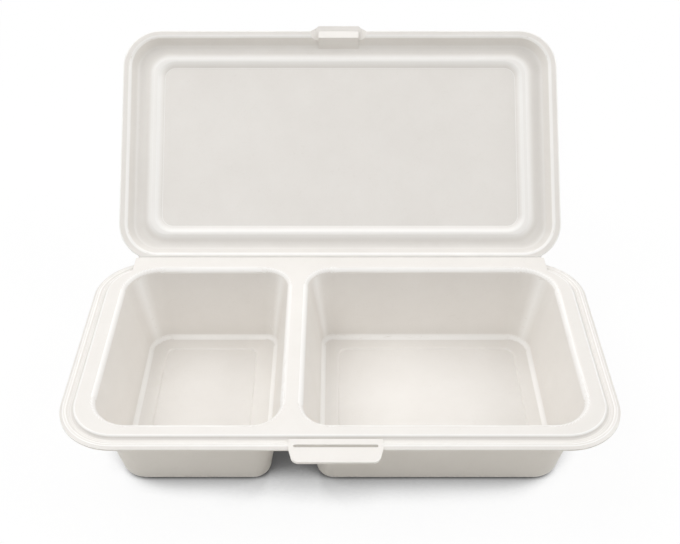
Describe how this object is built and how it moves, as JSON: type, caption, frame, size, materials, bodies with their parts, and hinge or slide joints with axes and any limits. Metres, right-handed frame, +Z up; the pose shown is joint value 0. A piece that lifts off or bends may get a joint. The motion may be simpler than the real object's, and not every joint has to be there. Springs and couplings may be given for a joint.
{
  "type": "two-compartment meal box",
  "caption": "Moulded plant-fibre takeaway box: a divided tray with a beaded rim, a hinged lid with a framed panel, and a tab and slotted tongue that close it.",
  "frame": {"origin": "on the table, under the middle of the base's rim", "axes": "+X along the hinge, to the larger compartment's side; +Y from the tongue to the hinge; +Z up"},
  "size_m": [0.24, 0.2241, 0.1288],
  "materials": {
    "fibre_base": "pressed moulded fibre, satin",
    "fibre_lid": "pressed moulded fibre, satin"
  },
  "bodies": {
    "base": {"base_tray": "fibre_base"},
    "lid": {"lid": "fibre_lid"}
  },
  "joints": [
    {"name": "lid_hinge", "type": "hinge", "parent": "base", "child": "lid", "pos_m": [0, 0.0646, 0.04315], "axis": [1, 0, 0], "range_deg": [-45, 135]}
  ]
}
